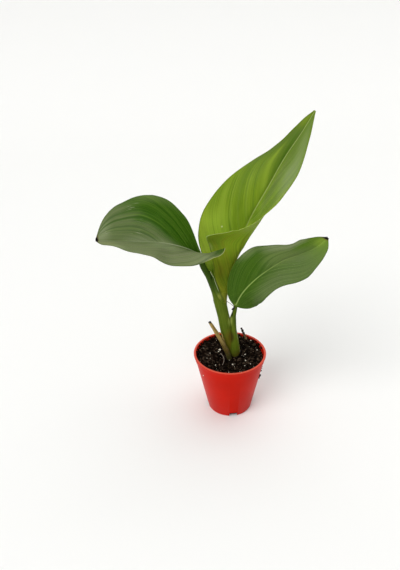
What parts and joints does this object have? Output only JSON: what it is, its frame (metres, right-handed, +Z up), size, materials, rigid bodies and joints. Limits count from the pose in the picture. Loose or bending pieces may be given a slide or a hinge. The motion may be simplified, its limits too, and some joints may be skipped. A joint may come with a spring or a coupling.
{
  "type": "giant bird of paradise plant",
  "caption": "Young giant bird of paradise plant: a short sheathed stem and a loose fan of paddle-shaped leaves, in a small tapered round nursery pot.",
  "frame": {"origin": "centre of the pot's flat underside", "axes": "+Z up the plant; X across its fan of leaves, with the tip of the tallest leaf towards +X; the upper faces of the leaves look towards -Y"},
  "size_m": [0.157, 0.0634, 0.2239],
  "materials": {
    "pot_plastic": "satin moulded red",
    "soil": "damp crumbly peat mix",
    "stem_green": "smooth living stem",
    "stalk_green": "smooth living stalk",
    "young_leaf": "satin living leaf",
    "grown_leaf": "satin living leaf",
    "withered": "dry withered stalk",
    "twig": "dull dead twig"
  },
  "bodies": {
    "root": {"pot": "pot_plastic", "potting_soil": "soil", "main_stem": "stem_green", "left_stalk": "stalk_green", "centre_stalk": "stem_green", "right_stalk": "stalk_green", "left_leaf": "grown_leaf", "centre_leaf": "young_leaf", "right_leaf": "grown_leaf", "dead_stalk": "withered", "dead_twig": "twig"}
  },
  "joints": []
}
